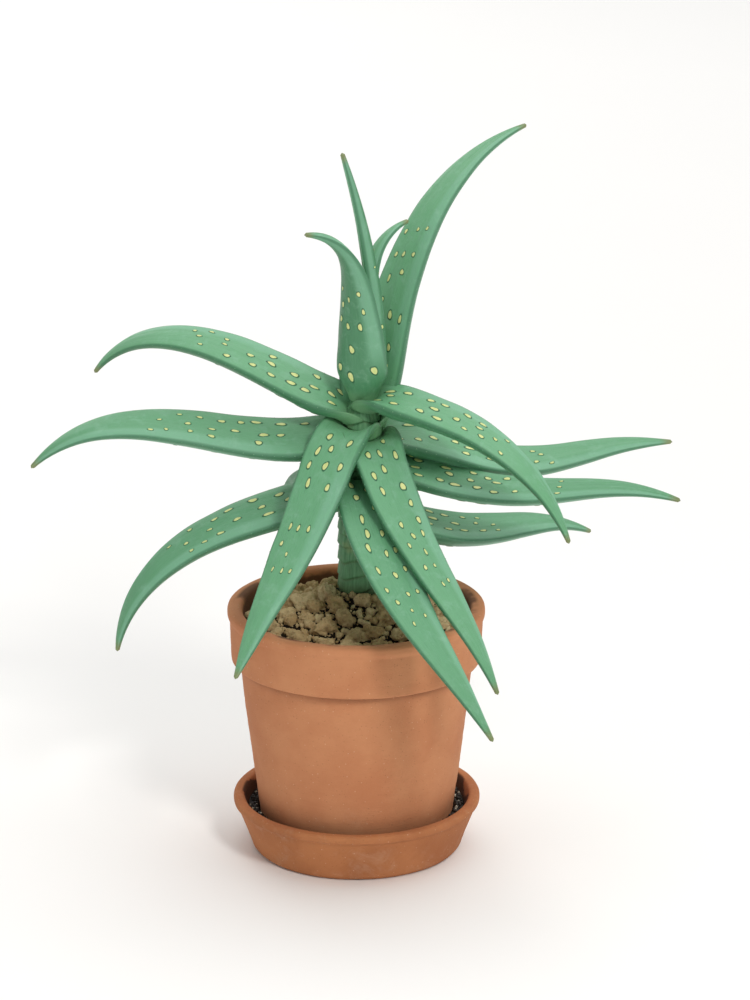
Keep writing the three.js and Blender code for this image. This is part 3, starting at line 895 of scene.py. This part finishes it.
class Leaf:
    """One leaf's blade, as a skin of rings that other details are placed on."""

    def __init__(self, order, row):
        self.name, above, self.heading, self.swing, self.turn = row[:5]
        self.length, self.width, self.thick, self.rise = row[5:]
        self.root = SOIL_CROWN_TOP + above
        self.inset = max(float(stem_radius(self.root)) - ROOTED_IN, 1)
        self.order = order
        self.seed = 100 + 17 * order
        self.rng = np.random.default_rng(self.seed)
        t = np.linspace(0, 1, LEAF_STATIONS)
        self.s = (t + (1 - np.cos(np.pi * t)) / 2) / 2
        self.angle = np.linspace(0, 2 * np.pi, LEAF_SIDES, endpoint=False)
        self.path = self.centre_line()
        self.rings = self.blade()

    def directions(self, s):
        settled = 1 - np.exp(-s * self.length / SHEATH_FADE)
        rise = np.radians(SHEATH_RISE + (through(self.rise, s) - SHEATH_RISE) * settled)
        heading = np.radians(self.heading + self.swing * s)
        level = np.cos(rise)
        along = np.stack([level * np.cos(heading), level * np.sin(heading), np.sin(rise)], -1)
        side = np.stack([-np.sin(heading), np.cos(heading), 0 * s], -1)
        turn = np.radians(self.turn * settled)[..., None]
        across = side * np.cos(turn) + np.cross(along, side) * np.sin(turn)
        return along, across, np.cross(along, across)

    def centre_line(self):
        heading = math.radians(self.heading)
        start = stem_centre(self.root) + self.inset * np.array([math.cos(heading), math.sin(heading), 0])
        fine = np.linspace(0, 1, PATH_STEPS + 1)
        steps = self.directions((fine[1:] + fine[:-1]) / 2)[0] * self.length / PATH_STEPS
        path = np.concatenate([[start], start + np.cumsum(steps, axis=0)])
        return np.stack([np.interp(self.s, fine, path[:, k]) for k in range(3)], -1)

    def half_width(self, s):
        swell = smoothstep(s, 0, SWELL_AT)
        clasp = (self.inset + CLASP_ROOM) * math.radians(CLASP_TURN)
        return clasp + (self.width / 2 * (1 - s**TAPER) - clasp) * swell + TIP_RADIUS

    def depth(self, s):
        swell = smoothstep(s, 0, SWELL_AT)
        share = (BASE_THICKNESS + (1 - BASE_THICKNESS) * swell) * (1 - s**TAPER)
        return self.thick * share + TIP_RADIUS

    def blade(self):
        s = self.s[:, None]
        a = self.angle[None, :]
        lift = np.sin(a)
        top = lift >= 0
        size = np.abs(lift)
        half, depth = self.half_width(s), self.depth(s)
        side = np.sign(np.cos(a))
        edge_wave = lattice(np.stack([s * 11 + 0 * a, side + 0 * s, 0 * s * a + self.seed], -1), 3)
        x = half * np.cos(a) * (1 + EDGE_WAVE * edge_wave)
        edge = np.minimum(0.9, depth * 0.3)
        crown = CROWN_SHARE * (depth - TIP_RADIUS) + TIP_RADIUS
        y = np.where(top, crown * size, -(edge * size**0.5 + (depth - edge) * size**1.45))
        flow = np.stack([s * 5 + 0 * a, np.cos(a) * 2.6 + 0 * s, top * 5.0 + 0 * s + self.seed], -1)
        y = y + FLOW_DEPTH * lattice(flow, 8) * np.minimum(1, depth / 6) * size
        creases = np.stack([s * 2.2 + 0 * a, np.cos(a) * 8 + 0 * s, 0 * s * a + self.seed], -1)
        y = y - CREASE_DEPTH * np.maximum(0, lattice(creases, 12)) * np.where(top, 1.0, 0.6) * size
        clasp = np.exp(-s * self.length / CLASP_FADE)
        bend = 1 / CHANNEL_RADIUS + (1 / (self.inset + CLASP_ROOM) - 1 / CHANNEL_RADIUS) * clasp
        arm = 1 / bend - y
        _, across, face = self.directions(self.s)
        sideways = (arm * np.sin(bend * x))[..., None] * across[:, None, :]
        upward = (1 / bend - arm * np.cos(bend * x))[..., None] * face[:, None, :]
        return self.path[:, None, :] + sideways + upward

    def at(self, s, angle):
        """Points on the blade's skin and its outward normals there."""
        i = np.interp(s, self.s, np.arange(len(self.s)))
        i0 = np.clip(np.floor(i).astype(int), 0, len(self.s) - 2)
        j = (angle / (2 * np.pi) * LEAF_SIDES) % LEAF_SIDES
        j0 = np.floor(j).astype(int) % LEAF_SIDES
        j1 = (j0 + 1) % LEAF_SIDES
        u, v = (i - i0)[..., None], (j - np.floor(j))[..., None]
        p00, p01 = self.rings[i0, j0], self.rings[i0, j1]
        p10, p11 = self.rings[i0 + 1, j0], self.rings[i0 + 1, j1]
        point = (1 - u) * ((1 - v) * p00 + v * p01) + u * ((1 - v) * p10 + v * p11)
        normal = np.cross((p01 - p00) + (p11 - p10), (p10 - p00) + (p11 - p01))
        return point, normal / np.linalg.norm(normal, axis=-1, keepdims=True)

    def lit_side(self):
        """Which half of the blade gets the painted highlight band: the one facing the lamps."""
        across = self.directions(np.array([0.4]))[1][0]
        return math.copysign(1.0, float(across @ np.array(TOWARDS_LAMPS)))

    def spot(self, skin, s0, q0, long, wide, under):
        """A low oval blister let into the skin, with painted shade as a darker ring on its flank."""
        theta = np.linspace(0, 2 * np.pi, SPOT_SIDES, endpoint=False)
        reach = np.array([0.35, 0.62, 0.7, 0.76, 1.0, 1.08])
        lift = SPOT_RISE * np.array([1.0, 0.85, 0.7, 0.34, 0.2, -1.2])
        oval = 0.13 * np.sin(2 * theta + self.rng.uniform(0, 6))
        uneven = 0.08 * np.sin(3 * theta + self.rng.uniform(0, 6))
        wobble = 1 + oval + uneven
        rr = reach[:, None] * wobble
        s = s0 + long * rr * np.cos(theta) / self.length
        q = q0 + wide * rr * np.sin(theta) / float(self.half_width(np.array(s0)))
        angle = np.arccos(np.clip(q, -0.97, 0.97))
        angle = -angle if under else angle
        point, normal = self.at(s, angle)
        rings = point + normal * lift[:, None, None]
        turn = -math.acos(q0) if under else math.acos(q0)
        middle, up = self.at(np.array([s0]), np.array([turn]))
        top = middle[0] + up[0] * SPOT_RISE
        bottom = middle[0] - up[0] * 0.9
        order = rings if under else rings[:, ::-1]
        points, faces = loft(order, top, bottom)
        quads, fans = faces
        ring_of = np.arange(len(quads)) // SPOT_SIDES
        ring_slots = np.where(ring_of < 2, SPOT_SLOT, SPOT_RIM_SHADE_SLOT)
        groups = [quads, fans[:SPOT_SIDES], fans[SPOT_SIDES:]]
        skin.add(points, groups, [ring_slots, SPOT_SLOT, SPOT_RIM_SHADE_SLOT])

    def spots(self, skin):
        for under in (False, True):
            for row in SPOT_ROWS:
                travel = SPOT_START + self.rng.uniform(0, SPOT_PITCH)
                while travel < SPOT_REACH * self.length:
                    s0 = travel / self.length
                    shrink = 1 - 0.45 * smoothstep(s0, 0.25, SPOT_REACH)
                    narrow = min(1.0, self.width / 24)
                    long = self.rng.uniform(*SPOT_LENGTH) * shrink * narrow
                    wide = self.rng.uniform(*SPOT_WIDTH) * shrink * narrow
                    q0 = row + self.rng.uniform(-0.13, 0.13)
                    if self.rng.uniform() < SPOT_CHANCE:
                        self.spot(skin, s0, q0, long, wide, under)
                    travel += SPOT_PITCH * self.rng.uniform(0.7, 1.35)

    def teeth(self, skin):
        """Small blunt teeth along both edges, leaning towards the tip."""
        for margin, out_sign in ((0.0, 1), (np.pi, -1)):
            travel = TOOTH_START
            while travel < TOOTH_REACH * self.length:
                s0 = travel / self.length
                point, normal = self.at(np.array([s0]), np.array([margin]))
                along, across, _ = self.directions(np.array([s0]))
                outward = out_sign * across[0]
                size = TOOTH_HEIGHT * self.rng.uniform(0.7, 1.15) * (1 - 0.55 * s0)
                base = size * 0.85
                up = np.cross(along[0], outward)
                theta = np.linspace(0, 2 * np.pi, TOOTH_SIDES, endpoint=False)
                rings = []
                for share, width in ((-0.5, 1.0), (0.0, 1.0), (0.5, 0.55)):
                    core = point[0] + outward * size * share + along[0] * size * 0.25 * max(share, 0)
                    oval = np.outer(np.cos(theta), along[0]) + np.outer(np.sin(theta), up) * 0.5
                    rings.append(core + oval * base * width)
                tip = point[0] + outward * size + along[0] * size * 0.55
                points, faces = loft(np.array(rings), point[0] - outward * size * 0.6, tip)
                if out_sign > 0:
                    faces = [f[:, ::-1] for f in faces]
                skin.add(points, faces, TOOTH_SLOT)
                travel += TOOTH_PITCH * self.rng.uniform(0.75, 1.25)

    def make(self, materials):
        along = self.directions(np.array([1.0]))[0][0]
        points, faces = loft(self.rings, self.path[0], self.path[-1] + along * TIP_RADIUS)
        shape = self.rings.shape[:2]

        def spread(grid, first, last):
            return np.concatenate([np.broadcast_to(grid, shape).ravel(), [first, last]])

        skin = Skin()
        skin.add(
            points,
            faces,
            along=spread(self.s[:, None], 0, 1),
            travel=spread(self.s[:, None] * self.length, 0, self.length),
            across=spread(np.cos(self.angle)[None, :], 0, 0),
            under=spread(smoothstep(-np.sin(self.angle), 0.0, 0.35)[None, :], 0, 0),
            age=self.order / len(LEAVES),
            lit=self.lit_side(),
        )
        self.spots(skin)
        self.teeth(skin)
        blade = skin.make("aloe_" + self.name, materials)
        dress(blade, "leaf", self.name)


# ---- Everything together ----


FLOOR_REACH = 40000
# Where the painted shade inside ends, from its full depth of colour to none, in metres up.
SAUCER_INSIDE_SHADE = ((SAUCER_HEIGHT - 1.5) * MM, (SAUCER_HEIGHT + 0.5) * MM)
POT_INSIDE_SHADE = ((RIM_TOP - 4) * MM, (RIM_TOP + 0.5) * MM)


def make_floor(material):
    skin = Skin()
    far = FLOOR_REACH
    skin.add([(-far, -far, 0), (far, -far, 0), (far, far, 0), (-far, far, 0)], [[[0, 1, 2, 3]]])
    skin.make("floor", [material])


make_camera()
make_lights()
make_floor(floor_skin())
# painted shade: the saucer's clay is a darker copy of the pot's, and its inside colour is near black
make_saucer(clay("saucer_clay", "#BC7B4F", "#AA6B44", "#C98B5F", "#2C1D13", *SAUCER_INSIDE_SHADE))
make_pot(clay("pot_clay", "#CA8B62", "#BF7D56", "#D69C75", "#5A3B28", *POT_INSIDE_SHADE))
make_soil(soil_skin())
make_grit(gutter_shade_grit_skin())
make_stem(stem_skin())
leaf_materials = [leaf_skin(), spot_skin(), spot_rim_shade_skin(), tooth_skin()]
for order, row in enumerate(LEAVES):
    Leaf(order, row).make(leaf_materials)

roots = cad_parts["roots"]
roots.data.materials.clear()
roots.data.materials.append(root_skin())
